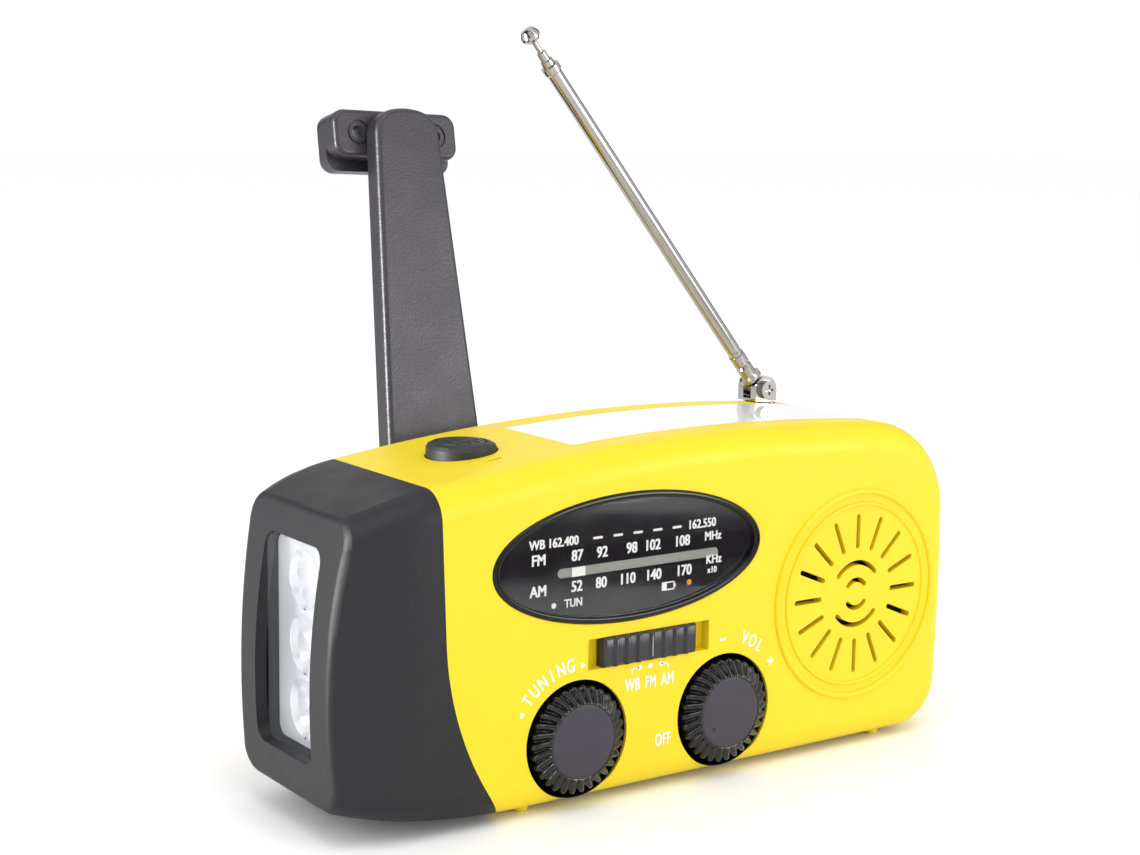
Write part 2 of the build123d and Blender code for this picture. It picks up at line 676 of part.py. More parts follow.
def volume_pot():
    """The volume control's body on the main board."""
    body = disc(VOLUME_X, KNOB_Z, 7.2, -10.0, BOARD_Y[0])
    return one(body - disc(VOLUME_X, KNOB_Z, SHAFT_RADIUS + RUN, -11, -5.8))


def tuning_capacitor():
    """The variable capacitor behind the main board."""
    body = block((TUNING_X - 8, TUNING_X + 8), (BOARD_Y[1], 2.8), (4.0, 20.0))
    return one(body - disc(TUNING_X, KNOB_Z, SHAFT_RADIUS + RUN, BOARD_Y[1] - 1, 2.0))


# ---- electronics -----------------------------------------------------------
def main_board():
    """The main circuit board."""
    body = block((-42.0, 19.0), BOARD_Y, (9.8, 45.0))
    return one(body - disc(TUNING_X, KNOB_Z, SHAFT_RADIUS + 0.5, -6, -3))


def ferrite_rod():
    """The medium-wave aerial's rod."""
    return one(Pos(7, -8.8, 49.3) * Rot(0, 90, 0) * Cylinder(3.2, 54))


def ferrite_coil():
    """The winding on the ferrite rod."""
    return one(Pos(-4, -8.8, 49.3) * Rot(0, 90, 0) * (Cylinder(3.7, 14) - Cylinder(3.2, 14)))


def speaker_frame():
    """The loudspeaker's steel basket."""
    outline = [(15.8, -16.9), (17.5, -16.9), (17.5, -15.6), (15.6, -15.2), (9.5, -10.0), (9.5, -9.0),
               (3.0, -9.0), (3.0, -9.8), (8.9, -9.8), (14.8, -15.4), (15.8, -15.7)]
    return one(turned_about_y(outline, SPEAKER_X, SPEAKER_Z))


def speaker_cone():
    """The loudspeaker's cone, rolled edge and dust cap."""
    outline = [(0, -13.4), (1.8, -13.1), (3.6, -12.2), (4.0, -11.9), (12.6, -15.5), (13.3, -16.2),
               (14.6, -16.2), (15.7, -15.9), (15.7, -16.3), (14.4, -16.7), (13.1, -16.7), (12.2, -16.0),
               (4.0, -12.6), (2.0, -13.7), (0, -14.0)]
    return one(turned_about_y(outline, SPEAKER_X, SPEAKER_Z))


def speaker_magnet():
    """The loudspeaker's magnet."""
    return one(disc(SPEAKER_X, SPEAKER_Z, 8.5, -9.0, -5.0) + disc(SPEAKER_X, SPEAKER_Z, 2.6, -11.2, -9.0))


def battery_cell():
    """The rechargeable cell with its raised terminal."""
    low, high = BATTERY_X
    centre = Pos((low + high) / 2 - 0.5, BATTERY_Y, BATTERY_Z) * Rot(0, 90, 0)
    body = centre * Cylinder(BATTERY_RADIUS, high - low - 1)
    return one(body + Pos(high - 0.5, BATTERY_Y, BATTERY_Z) * Rot(0, 90, 0) * Cylinder(2.4, 1))


def battery_contacts():
    """The plates that the cell sits between."""
    low, high = BATTERY_X
    z = (BATTERY_Z - 5, BATTERY_Z + 5)
    y = (BATTERY_Y - 5, BATTERY_Y + 5)
    return Compound(children=[one(block((low - 0.4, low), y, z)), one(block((high, high + 0.4), y, z))])


def battery_door():
    """The cover of the battery opening."""
    x, z = (DOOR_X[0] + GAP, DOOR_X[1] - GAP), (DOOR_Z[0] + GAP, DOOR_Z[1] - GAP)
    body = block(x, (17.2, HALF_DEPTH), z)
    for index in range(4):
        at = 40.0 + 2.0 * index
        body -= block((at, at + 0.8), (HALF_DEPTH - 0.5, HALF_DEPTH + 1), (DOOR_Z[0] + 3, DOOR_Z[1] - 3))
    return one(body - disc(*DOOR_SCREW, 1.0, 17, 20) - disc(*DOOR_SCREW, 2.2, 18.0, 20))


def screw(x, z, radius, head_radius, y0, head_y0, head_y1):
    """A cross-head screw along Y."""
    body = disc(x, z, radius, y0, head_y0) + disc(x, z, head_radius, head_y0, head_y1)
    arm, deep = head_radius * 0.55, 0.5
    for half_x, half_z in ((arm, 0.3), (0.3, arm)):
        body -= block((x - half_x, x + half_x), (head_y1 - deep, head_y1 + 1), (z - half_z, z + half_z))
    return one(body)


def case_screws():
    """The four screws that hold the back cover, and the battery door's screw."""
    screws = [screw(x, z, SCREW_RADIUS, SCREW_HEAD_RADIUS, SCREW_TIP_Y, 17.9, 18.8) for x, z in CASE_SCREWS]
    return Compound(children=screws + [screw(*DOOR_SCREW, 0.9, 2.0, 14.0, 18.0, 18.8)])


def port_board():
    """The small board under the charging sockets."""
    top = USB_Z - USB_SIZE[1] / 2
    return block((50.5, 60.9), (-9.6, 10.5), (top - 1.2, top))


def usb_socket():
    """The larger socket: a metal shell with a tongue inside."""
    width, height = USB_SIZE
    shell_wall, end_x = 0.4, 62.4
    body = usb_block(0, end_x)
    body -= block((52.0, end_x + 1), (USB_Y - width / 2 + shell_wall, USB_Y + width / 2 - shell_wall),
                  (USB_Z - height / 2 + shell_wall, USB_Z + height / 2 - shell_wall))
    return one(body + block((51.5, 61.0), (USB_Y - 5.6, USB_Y + 5.6), (USB_Z + 0.2, USB_Z + 1.9)))


def micro_usb_socket():
    """The smaller socket: a metal shell with a thin tongue."""
    width, height = MICRO_SIZE
    shell_wall, end_x = 0.3, 62.4
    low = USB_Z - USB_SIZE[1] / 2
    body = micro_block(0, end_x)
    body -= block((57.0, end_x + 1), (MICRO_Y - width / 2 + shell_wall, MICRO_Y + width / 2 - shell_wall),
                  (low + shell_wall, low + height - shell_wall))
    return one(body + block((56.5, 61.5), (MICRO_Y - 2.4, MICRO_Y + 2.4), (low + 1.2, low + 1.7)))


def port_cover():
    """The rubber flap over the sockets, hinged at its rear edge."""
    flap = block((PORT_FACE_X + 0.1, PORT_FACE_X + 1.2), (-PORT_HALF_Y, PORT_HALF_Y),
                 (PORT_LOW_Z + 0.1, PORT_HIGH_Z - 0.1))
    outer = [e for e in flap.edges().filter_by(Axis.Y) if e.center().X > PORT_FACE_X + 1]
    return one(fillet(outer, 0.5))


# ---- generator -------------------------------------------------------------
def gearbox_plate():
    """The plate that carries the gears, with the step gear's axle and posts to the back cover."""
    sketch = Sketch()
    axes = [(CRANK_X, CRANK_Z), step_axis(), rotor_axis()]
    for x, z in axes:
        for post_x, post_z in GEARBOX_POSTS:
            run, rise = post_x - x, post_z - z
            bar = SlotCenterToCenter(hypot(run, rise), 6)
            sketch += Pos((x + post_x) / 2, (z + post_z) / 2) * Rot(0, 0, degrees(atan2(rise, run))) * bar
    body = slab(sketch, *PLATE_Y)
    for x, z in GEARBOX_POSTS:
        body += disc(x, z, 2.0, PLATE_Y[0], 17.0)
    body += disc(*step_axis(), AXLE_RADIUS, PLATE_Y[0], 17.0)
    body -= disc(CRANK_X, CRANK_Z, CRANK_TAIL_RADIUS + RUN, 7, 10)
    return one(body - disc(*rotor_axis(), 1.4, 7, 10))


def step_gear():
    """The double gear between the crank gear and the rotor."""
    x, z = step_axis()
    body = gear(STEP_LARGE_TEETH, GEAR_MODULE, ROTOR_DIRECTION, x, z, 9.2, 11.0)
    phase = STEP_DIRECTION + 180 + 180 / STEP_SMALL_TEETH
    body += gear(STEP_SMALL_TEETH, GEAR_MODULE, phase, x, z, 11.0, 15.0)
    return one(body - disc(x, z, AXLE_RADIUS + RUN, 8, 16))


def generator_rotor():
    """The magnet wheel, its shaft and its pinion."""
    x, z = rotor_axis()
    phase = ROTOR_DIRECTION + 180 + 180 / ROTOR_TEETH
    body = disc(x, z, ROTOR_RADIUS, -1.4, 6.0) + disc(x, z, 1.0, -1.9, 11.4)
    return one(body + gear(ROTOR_TEETH, GEAR_MODULE, phase, x, z, 9.2, 11.2))


def generator_body():
    """The generator's can."""
    x, z = rotor_axis()
    body = disc(x, z, GENERATOR_RADIUS, -3.0, PLATE_Y[0]) - disc(x, z, 9.2, -2.0, 6.7)
    return one(body - disc(x, z, 1.0 + RUN, 6, 8))


def crank_bush():
    """The bearing of the crank in the back cover."""
    bore = disc(CRANK_X, CRANK_Z, CRANK_SHAFT_RADIUS + RUN, 15, 20)
    return one(disc(CRANK_X, CRANK_Z, 5.0, 15.2, HALF_DEPTH) - bore)


# ---- crank, in the arm's own turned planes ---------------------------------
def crank_plane():
    """An upright plane turned with the crank: local y points from the hub to the hinge."""
    turn = radians(CRANK_TURN)
    return Plane(origin=(CRANK_X, 0, CRANK_Z), x_dir=(cos(turn), 0, -sin(turn)), z_dir=(0, -1, 0))


def arm_plane():
    """The arm's plane through the hinge axis: local x across, y along the arm, z to its smooth face."""
    turn, lean = radians(CRANK_TURN), radians(ARM_LEAN)
    origin = crank_plane().from_local_coords(Vector(0, HINGE_OFFSET, -HINGE_Y))
    normal = (sin(lean) * sin(turn), -cos(lean), sin(lean) * cos(turn))
    return Plane(origin=origin, x_dir=(cos(turn), 0, -sin(turn)), z_dir=normal)


def crank_slab(sketch, y0, y1):
    """Extrude a sketch in the crank's plane from Y = y0 to Y = y1."""
    return slab(sketch, y0, y1, crank_plane())


def ear(side):
    """One of the hub's two ears, beside the arm."""
    arm_half = ARM_WIDTHS[0][1] / 2
    near, far = side * (arm_half + 0.25), side * (arm_half + 2.25)
    low, high = min(near, far), max(near, far)
    profile = [(1.0, HUB_FRONT_Y), (HINGE_OFFSET + 2.2, HUB_FRONT_Y), (HINGE_OFFSET + 2.2, HINGE_Y),
               (HINGE_OFFSET, HINGE_Y + 2.2), (1.0, HUB_BACK_Y)]
    face = Plane.YZ * make_face(Polyline(*[(along, -y) for along, y in profile], close=True))
    return crank_plane() * Pos(low, 0, 0) * extrude(face, amount=high - low)


def crank_hub():
    """The crank's disc with two ears and the driving shaft."""
    cut_off = Pos(0, HUB_RADIUS + HINGE_OFFSET - 2.2) * Rectangle(3 * HUB_RADIUS, 2 * HUB_RADIUS)
    disc_face = Circle(HUB_RADIUS) - cut_off
    body = crank_slab(disc_face, HUB_FRONT_Y, HUB_BACK_Y)
    body += crank_slab(Circle(CRANK_SHAFT_RADIUS), 11.8, HUB_FRONT_Y)
    body += crank_slab(Circle(CRANK_TAIL_RADIUS), 7.2, 11.8)
    body += ear(-1) + ear(1)
    return one(body - hinge_bar(1.0))


def hinge_bar(radius):
    """A round bar on the hinge axis, as long as the ears are apart."""
    length = ARM_WIDTHS[0][1] + 4.5
    return arm_plane() * Rot(0, 90, 0) * Cylinder(radius, length)


def crank_hinge_pin():
    """The steel pin through the ears and the arm."""
    return one(hinge_bar(1.0))


def crank_gear():
    """The large gear on the crank's shaft."""
    body = gear(CRANK_TEETH, GEAR_MODULE, STEP_DIRECTION, CRANK_X, CRANK_Z, 12.0, 14.5)
    for index in range(5):
        turn = 2 * pi * index / 5
        x, z = at_angle(8.0, turn)
        body -= disc(CRANK_X + x, CRANK_Z + z, 2.4, 11, 16)
    return one(body - disc(CRANK_X, CRANK_Z, CRANK_SHAFT_RADIUS, 11, 16))


def arm_outline(margin):
    """The arm's outline with its rounded tip, moved inwards by a margin."""
    right = [(width / 2 - margin, at) for at, width in ARM_WIDTHS]
    tip = (0, ARM_LENGTH - margin)
    shoulder = right[-1]
    edges = [Line(right[0], right[1]), Line(right[1], shoulder)]
    edges += [mirror(edge, Plane.YZ) for edge in edges]
    bow = ThreePointArc(shoulder, tip, (-shoulder[0], shoulder[1]))
    form = make_face(edges + [bow, Line((-right[0][0], right[0][1]), right[0])])
    for side in (-1, 1):
        form = rounded(form, (side * shoulder[0], shoulder[1]), ARM_TIP_ROUND)
    return form


def crank_arm():
    """The flat arm with a barrel at its hinge."""
    plate = extrude(arm_outline(0), amount=ARM_FACE) + extrude(arm_outline(0), amount=-ARM_UNDER)
    plate = fillet(plate.faces().sort_by(Axis.Z)[-1].edges(), 1.0)
    plate -= Pos(0, 0, ARM_FACE) * block((-30, 30), (-5, 2.2), (-1.2, 5))
    barrel = Rot(0, 90, 0) * Cylinder(1.75, ARM_WIDTHS[0][1])
    body = plate + barrel - Rot(0, 90, 0) * Cylinder(1.0 + RUN, 40)
    body -= Pos(0, GRIP_AT, 0) * Cylinder(2.0, 2.0, align=(Align.CENTER, Align.CENTER, Align.MAX))
    return one(arm_plane() * body)


def grip_pin():
    """The pin that the grip turns on."""
    outline = [(0, 0), (2.0, 0), (2.0, -6.7), (3.1, -6.7), (3.1, -8.1), (0, -8.1)]
    return one(arm_plane() * Pos(0, GRIP_AT, 0) * turned(outline))


def grip_block(width, near, far):
    """Half of the grip's bar, in the arm's plane, on the underside."""
    bar = extrude(RectangleRounded(GRIP_LENGTH, width, 2.4), amount=far - near)
    return Pos(0, GRIP_AT, -far) * bar


def grip_front():
    """The half of the grip next to the arm, with two screw holes."""
    body = grip_block(GRIP_FRONT_WIDTH, GRIP_NEAR, GRIP_PARTING)
    body = fillet(body.faces().sort_by(Axis.Z)[-1].edges(), 0.8)
    body -= Pos(0, GRIP_AT, 0) * Cylinder(2.0 + RUN, 30)
    for side in (-1, 1):
        spot = Pos(side * GRIP_SCREW_X, GRIP_AT, -GRIP_NEAR)
        body -= spot * Cylinder(0.9, 30) + spot * Cylinder(1.25, 4.4)
        body -= spot * (Cylinder(2.3, 0.5) - Cylinder(1.8, 1))
    return one(arm_plane() * body)


def grip_back():
    """The outer half of the grip."""
    body = Pos(0, -GRIP_BACK_DROP, 0) * grip_block(GRIP_BACK_WIDTH, GRIP_PARTING, GRIP_FAR)
    body = fillet(body.faces().sort_by(Axis.Z)[0].edges(), 2.0)
    cavity = Pos(0, GRIP_AT, -GRIP_PARTING) * Cylinder(3.3, 6.4)
    body -= cavity
    for side in (-1, 1):
        body -= Pos(side * GRIP_SCREW_X, GRIP_AT, -GRIP_PARTING) * Cylinder(0.9, 4.0)
    return one(arm_plane() * body)


def grip_screws():
    """The two screws that close the grip."""
    outline = [(0, -7.0), (0.9, -7.0), (0.9, -3.6), (1.2, -3.6), (1.2, -3.1), (0, -3.1)]
    return Compound(children=[one(arm_plane() * Pos(side * GRIP_SCREW_X, GRIP_AT, 0) * turned(outline))
                              for side in (-1, 1)])


# ---- antenna ---------------------------------------------------------------
def mast_plane():
    """A plane at the antenna's pivot whose local z runs up the antenna."""
    lean = radians(MAST_LEAN)
    return Plane(origin=(MAST_X, MAST_Y, MAST_Z), x_dir=(cos(lean), 0, sin(lean)),
                 z_dir=(-sin(lean), 0, cos(lean)))


def antenna_base():
    """The bushing in the case's top."""
    outline = [(2.3, 51.4), (3.4, 51.4), (3.4, 57.6), (3.0, 57.9), (2.3, 57.9)]
    return one(Pos(MAST_X, MAST_Y, 0) * turned(outline))


def antenna_swivel():
    """The turning post and the fork that holds the antenna's eye."""
    post = Pos(MAST_X, MAST_Y, 54.2) * Cylinder(2.3 - RUN, 7.6)
    post += Pos(MAST_X, MAST_Y, 50.6) * Cylinder(3.2, 1.2)
    post += Pos(MAST_X, MAST_Y, 58.3) * Cylinder(2.6, 0.6)
    fork = block((MAST_X - 2.5, MAST_X + 2.5), (MAST_Y - 2.6, MAST_Y + 2.6), (58.4, 60.6))
    fork += disc(MAST_X, MAST_Z, 2.5, MAST_Y - 2.6, MAST_Y + 2.6)
    fork -= block((MAST_X - 4, MAST_X + 4), (MAST_Y - 1.1, MAST_Y + 1.1), (58.9, 70))
    return one(post + fork - disc(MAST_X, MAST_Z, 0.9, 0, 30))


def antenna_screw():
    """The cross-head screw that clamps the antenna's eye."""
    body = disc(MAST_X, MAST_Z, 0.9, MAST_Y - 2.6, MAST_Y + 3.2)
    body += disc(MAST_X, MAST_Z, 1.75, MAST_Y - 3.5, MAST_Y - 2.6)
    for half_x, half_z in ((1.0, 0.25), (0.25, 1.0)):
        body -= block((MAST_X - half_x, MAST_X + half_x), (MAST_Y - 4, MAST_Y - 3.1),
                      (MAST_Z - half_z, MAST_Z + half_z))
    return one(body)


def antenna_knuckle():
    """The eye and the collar at the foot of the tubes."""
    eye = Rot(90, 0, 0) * Cylinder(1.6, 2.0)
    stem = turned([(0, 0.6), (0.95, 0.6), (0.95, 2.6), (2.1, 2.6), (2.1, 3.3), (1.5, 3.7), (1.5, 5.6),
                   (1.2, 6.0), (1.5, 6.4), (1.5, TUBE_STARTS[0]), (0, TUBE_STARTS[0])])
    return one(mast_plane() * (eye + stem - Rot(90, 0, 0) * Cylinder(0.9 + RUN, 10)))


def antenna_tube(index):
    """One tube of the telescope, counted from the thickest."""
    start, end, outer, bore = TUBE_STARTS[index], TUBE_ENDS[index], TUBE_RADII[index], TUBE_BORES[index]
    outline = [(bore, start + 0.6), (bore, end), (outer, end), (outer, start), (0, start), (0, start + 0.6)]
    if index == 0:
        outline = [(bore, start + 0.6), (bore, end), (outer + 0.25, end), (outer + 0.25, end - 1.2),
                   (outer, end - 1.6), (outer, start + 1.2), (outer - 0.12, start + 0.9),
                   (outer, start + 0.6),
                   (outer, start), (0, start), (0, start + 0.6)]
    return one(mast_plane() * turned(outline))


def antenna_rod():
    """The innermost rod with its mushroom tip."""
    rod = TUBE_RADII[3]
    outline = [(0, TUBE_STARTS[3]), (rod, TUBE_STARTS[3]), (rod, TUBE_ENDS[3]), (1.2, TUBE_ENDS[3] + 0.2),
               (TIP_RADIUS, TUBE_ENDS[3] + 0.9), (TIP_RADIUS, TUBE_ENDS[3] + 1.4), (1.2, TIP_END - 0.2),
               (0, TIP_END)]
    return one(mast_plane() * turned(outline))


# ---- solar panel -----------------------------------------------------------
def solar_parts(outer, skin):
    """The clear cover, flush with the top, and the cell under it."""
    cover = skin & solar_zone(0, 0)
    deep = envelope(SOLAR_THICKNESS)
    cell = (deep - envelope(SOLAR_THICKNESS + 0.8)) & solar_zone(CELL_MARGIN, CELL_MARGIN)
    return one(cover), one(cell)


def model():
    """Every piece of the radio by name."""
    outer, inner = envelope(), envelope(WALL)
    shell = outer - inner
    skin = outer - envelope(SOLAR_THICKNESS)
    cover, cell = solar_parts(outer, skin)
    nodes = {
        "front_case": front_case(shell, outer, skin),
        "rear_case": rear_case(shell),
        "lamp_bezel": lamp_bezel(shell),
        "solar_cover": cover,
        "solar_cell": cell,
        "tuning_knob": knob(TUNING_X),
        "volume_knob": knob(VOLUME_X),
    }
    makers = (feet, lamp_window, lamp_reflector, lamp_leds, lamp_board, lamp_switch, lamp_button, dial_window,
              dial_plate, dial_backing, indicator_leds, tuning_pinion, volume_shaft, pointer_carriage,
              band_slider, band_switch_body, volume_pot, tuning_capacitor, main_board, ferrite_rod,
              ferrite_coil, speaker_frame, speaker_cone, speaker_magnet, battery_cell, battery_contacts,
              battery_door, case_screws, port_board, usb_socket, micro_usb_socket, port_cover, gearbox_plate,
              step_gear, generator_rotor, generator_body, crank_bush, crank_hub, crank_hinge_pin,
              crank_gear, crank_arm, grip_pin, grip_front, grip_back, grip_screws, antenna_base,
              antenna_swivel, antenna_screw, antenna_knuckle, antenna_rod)
    for maker in makers:
        nodes[maker.__name__] = maker()
    for index in range(3):
        nodes[f"antenna_tube_{index + 1}"] = antenna_tube(index)
    return nodes


if __name__ == "__main__":
    os.makedirs("parts", exist_ok=True)
    for name, shape in model().items():
        export_step(shape, f"parts/{name}.step")
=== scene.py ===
"""Looks of the hand-crank emergency radio. Metres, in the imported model's frame."""
import bpy
import bmesh
from math import cos, pi, radians, sin
from mathutils import Matrix, Vector


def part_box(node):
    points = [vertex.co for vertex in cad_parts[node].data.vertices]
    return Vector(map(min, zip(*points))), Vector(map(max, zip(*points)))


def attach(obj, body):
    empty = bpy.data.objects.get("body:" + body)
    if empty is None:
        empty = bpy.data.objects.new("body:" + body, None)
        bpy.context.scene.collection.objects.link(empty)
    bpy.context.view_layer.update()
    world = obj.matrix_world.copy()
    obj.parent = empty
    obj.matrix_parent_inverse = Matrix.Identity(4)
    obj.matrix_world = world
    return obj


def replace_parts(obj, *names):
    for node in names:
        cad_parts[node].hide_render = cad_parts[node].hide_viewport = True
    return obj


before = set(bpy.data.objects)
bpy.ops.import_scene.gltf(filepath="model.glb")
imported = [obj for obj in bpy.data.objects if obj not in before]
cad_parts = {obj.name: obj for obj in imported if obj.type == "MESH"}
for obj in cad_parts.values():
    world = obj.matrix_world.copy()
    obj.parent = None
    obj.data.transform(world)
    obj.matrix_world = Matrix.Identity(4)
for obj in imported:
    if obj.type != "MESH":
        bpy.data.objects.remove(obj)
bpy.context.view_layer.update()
MM = 0.001
FRONT = -19.0 * MM        # Y of the case's front face

# places on the front, in millimetres
TUNING_X, VOLUME_X, KNOB_Z = -19.45, 10.8, 11.9
DIAL_X, DIAL_Z, DIAL_RX, DIAL_RZ = -9.1, 40.8, 26.8, 10.6
DIAL_PRINT_Y = -18.37
SCALE_X, SCALE_Z, SCALE_HALF = (-22.6, 8.4), 39.45, 0.75
POINTER_X, POINTER_Y = -19.4, -18.5
CUP_PITCH = 10.4          # between the torch's reflector cups

# the camera, in metres
CAMERA_PLACE = (-0.2001, -0.2722, 0.1120)
CAMERA_RIGHT = (0.81900, -0.57359, 0.01542)
CAMERA_UP = (0.07745, 0.13714, 0.98752)
CAMERA_BACK = (-0.56855, -0.80758, 0.15675)
CAMERA_LENS, CAMERA_SENSOR = 63.46, 36.0   # millimetres
WORLD_STRENGTH = 1.02


# ---- materials -------------------------------------------------------------
def new_material(name, colour, roughness, **sockets):
    """A principled material; the extra sockets are set directly by name."""
    made = bpy.data.materials.new(name)
    made.use_nodes = True
    shader = made.node_tree.nodes["Principled BSDF"]
    shader.inputs["Base Color"].default_value = (*colour, 1)
    shader.inputs["Roughness"].default_value = roughness
    for socket, value in sockets.items():
        shader.inputs[socket.replace("_", " ")].default_value = value
    made.diffuse_color = (*colour, 1)
    return made


def link(made, a, a_socket, b, b_socket):
    """Join two node sockets."""
    made.node_tree.links.new(a.outputs[a_socket], b.inputs[b_socket])


def noise(made, scale, detail=3.0, stretch=None):
    """A noise texture in object space, with its scale in features per metre."""
    nodes = made.node_tree.nodes
    where, texture = nodes.new("ShaderNodeTexCoord"), nodes.new("ShaderNodeTexNoise")
    texture.inputs["Scale"].default_value = scale
    texture.inputs["Detail"].default_value = detail
    if stretch:
        mapping = nodes.new("ShaderNodeMapping")
        mapping.inputs["Scale"].default_value = stretch
        link(made, where, "Object", mapping, "Vector")
        link(made, mapping, "Vector", texture, "Vector")
    else:
        link(made, where, "Object", texture, "Vector")
    return texture


def vary_colour(made, texture, low, high):
    """Base colour that runs between two colours with a texture."""
    ramp = made.node_tree.nodes.new("ShaderNodeValToRGB")
    ramp.color_ramp.elements[0].position, ramp.color_ramp.elements[1].position = 0.35, 0.65
    ramp.color_ramp.elements[0].color, ramp.color_ramp.elements[1].color = (*low, 1), (*high, 1)
    link(made, texture, "Fac", ramp, "Fac")
    link(made, ramp, "Color", made.node_tree.nodes["Principled BSDF"], "Base Color")


def vary_roughness(made, texture, low, high):
    """Roughness that runs between two values with a texture."""
    spread = made.node_tree.nodes.new("ShaderNodeMapRange")
    spread.inputs["From Min"].default_value, spread.inputs["From Max"].default_value = 0.3, 0.7
    spread.inputs["To Min"].default_value, spread.inputs["To Max"].default_value = low, high
    link(made, texture, "Fac", spread, "Value")
    link(made, spread, "Result", made.node_tree.nodes["Principled BSDF"], "Roughness")


def emboss(made, texture, strength, depth):
    """Bump from a texture; depth is in metres."""
    bump = made.node_tree.nodes.new("ShaderNodeBump")
    bump.inputs["Strength"].default_value, bump.inputs["Distance"].default_value = strength, depth
    link(made, texture, "Fac", bump, "Height")
    link(made, bump, "Normal", made.node_tree.nodes["Principled BSDF"], "Normal")


def moulded(name, colour, roughness, grain=3500, strength=0.25, spread=0.06, **sockets):
    """Moulded plastic or rubber with a fine spark-eroded grain and uneven gloss."""
    made = new_material(name, colour, roughness, **sockets)
    cloud = noise(made, 60, 2)
    vary_colour(made, cloud, [c * (1 - spread) for c in colour], [min(1, c * (1 + spread)) for c in colour])
    vary_roughness(made, noise(made, 140, 4), roughness - 0.05, roughness + 0.05)
    emboss(made, noise(made, grain, 2), strength, 0.00006)
    return made


def metal(name, colour, roughness, stretch=(1, 1, 1)):
    """Plated or turned metal with fine smears in its gloss."""
    made = new_material(name, colour, roughness, Metallic=1.0)
    cloud = noise(made, 90, 3, stretch)
    vary_colour(made, cloud, [c * 0.93 for c in colour], colour)
    vary_roughness(made, noise(made, 400, 4, stretch), max(0.02, roughness - 0.04), roughness + 0.06)
    return made


def clear(name, colour, alpha, roughness=0.04):
    """Clear plastic, with faint smears in its gloss; pale and with a high alpha, as on the solar cover, it is
    a painted white reflection.
    """
    made = new_material(name, colour, roughness, Alpha=alpha, IOR=1.5)
    vary_roughness(made, noise(made, 120, 4), roughness - 0.02, roughness + 0.03)
    made.surface_render_method = "BLENDED"
    return made


def solar_material():
    """Dark cell with thin bright conductors along and across it."""
    made = new_material("solar_silicon", (0.02, 0.03, 0.06), 0.25)
    nodes = made.node_tree.nodes
    where, wave = nodes.new("ShaderNodeTexCoord"), nodes.new("ShaderNodeTexWave")
    wave.bands_direction = "X"
    wave.inputs["Scale"].default_value = 26
    link(made, where, "Object", wave, "Vector")
    ramp = nodes.new("ShaderNodeValToRGB")
    ramp.color_ramp.elements[0].position, ramp.color_ramp.elements[1].position = 0.965, 0.99
    ramp.color_ramp.elements[0].color = (0.015, 0.02, 0.05, 1)
    ramp.color_ramp.elements[1].color = (0.5, 0.5, 0.5, 1)
    link(made, wave, "Fac", ramp, "Fac")
    link(made, ramp, "Color", nodes["Principled BSDF"], "Base Color")
    return made


YELLOW = (0.81, 0.62, 0.011)
MAT = {
    "yellow": moulded("yellow_plastic", YELLOW, 0.45, grain=2600, strength=0.3, spread=0.015,
                      Specular_IOR_Level=0.3),
    "bezel": moulded("bezel_plastic", (0.0125, 0.012, 0.0145), 0.5, grain=2600, strength=0.5,
                     Specular_IOR_Level=0.3),
    "arm": moulded("arm_plastic", (0.031, 0.027, 0.037), 0.36, grain=2200, strength=0.8),
    "knob": moulded("knob_gloss", (0.004, 0.004, 0.005), 0.13, strength=0.02),
    "rim": moulded("rim_gloss", (0.003, 0.003, 0.0035), 0.12, strength=0.02, Specular_IOR_Level=0.3),
    "knob_face": moulded("knob_face", (0.043, 0.037, 0.051), 0.5, grain=4200, strength=0.5,
                         Specular_IOR_Level=0.3),
    "rubber": moulded("black_rubber", (0.022, 0.022, 0.024), 0.5, strength=0.35, Specular_IOR_Level=0.35),
    "dial": moulded("dial_black", (0.01, 0.0085, 0.012), 0.08, grain=900, strength=0.01,
                    Specular_IOR_Level=1.0),
    "switch": moulded("switch_plastic", (0.02, 0.0185, 0.023), 0.3, strength=0.15),
    "print": moulded("white_print", (0.88, 0.88, 0.86), 0.5, grain=5000, strength=0.1),
    "scale": moulded("scale_strip", (0.27, 0.29, 0.26), 0.5),
    "pale": moulded("pale_plastic", (0.8, 0.82, 0.78), 0.5),
    "board": moulded("circuit_board", (0.02, 0.12, 0.05), 0.35, grain=900),
    "dark": moulded("dark_parts", (0.03, 0.03, 0.03), 0.5),
    "paper": moulded("cone_paper", (0.02, 0.02, 0.02), 0.8, grain=1500, strength=0.6),
    "wrap": moulded("cell_wrap", (0.03, 0.09, 0.4), 0.25, strength=0.05),
    "gear": moulded("gear_plastic", (0.8, 0.8, 0.74), 0.4),
    "chrome": metal("chrome", (0.4, 0.385, 0.37), 0.09, (1, 1, 0.2)),
    "reflector": metal("reflector_plating", (0.95, 0.95, 0.97), 0.1),
    "reflector_face": moulded("reflector_face", (0.86, 0.87, 0.9), 0.2, grain=700, strength=0.8,
                              Metallic=0.35),
    "steel": metal("steel", (0.6, 0.6, 0.62), 0.3, (1, 4, 1)),
    "copper": metal("copper_wire", (0.75, 0.35, 0.16), 0.3, (12, 1, 1)),
    "window": clear("window_clear", (0.5, 0.53, 0.56), 0.07),
    "lens": clear("lens_clear", (0.01, 0.01, 0.01), 0.14, 0.03),
    # solar cover: near-opaque pale white at alpha 0.86, a painted reflection of the white surroundings that
    # hides the dark cell under it
    "cover": clear("cover_painted_white_reflection", (0.97, 0.98, 1.0), 0.86, 0.06),
    "lamp": moulded("lamp_resin", (0.9, 0.92, 0.95), 0.1, strength=0.02),
    "amber": moulded("amber_resin", (0.8, 0.3, 0.03), 0.2, strength=0.02),
    "solar": solar_material(),
}
MAT["lamp"].node_tree.nodes["Principled BSDF"].inputs["Emission Color"].default_value = (1, 1, 1, 1)
MAT["lamp"].node_tree.nodes["Principled BSDF"].inputs["Emission Strength"].default_value = 0.3

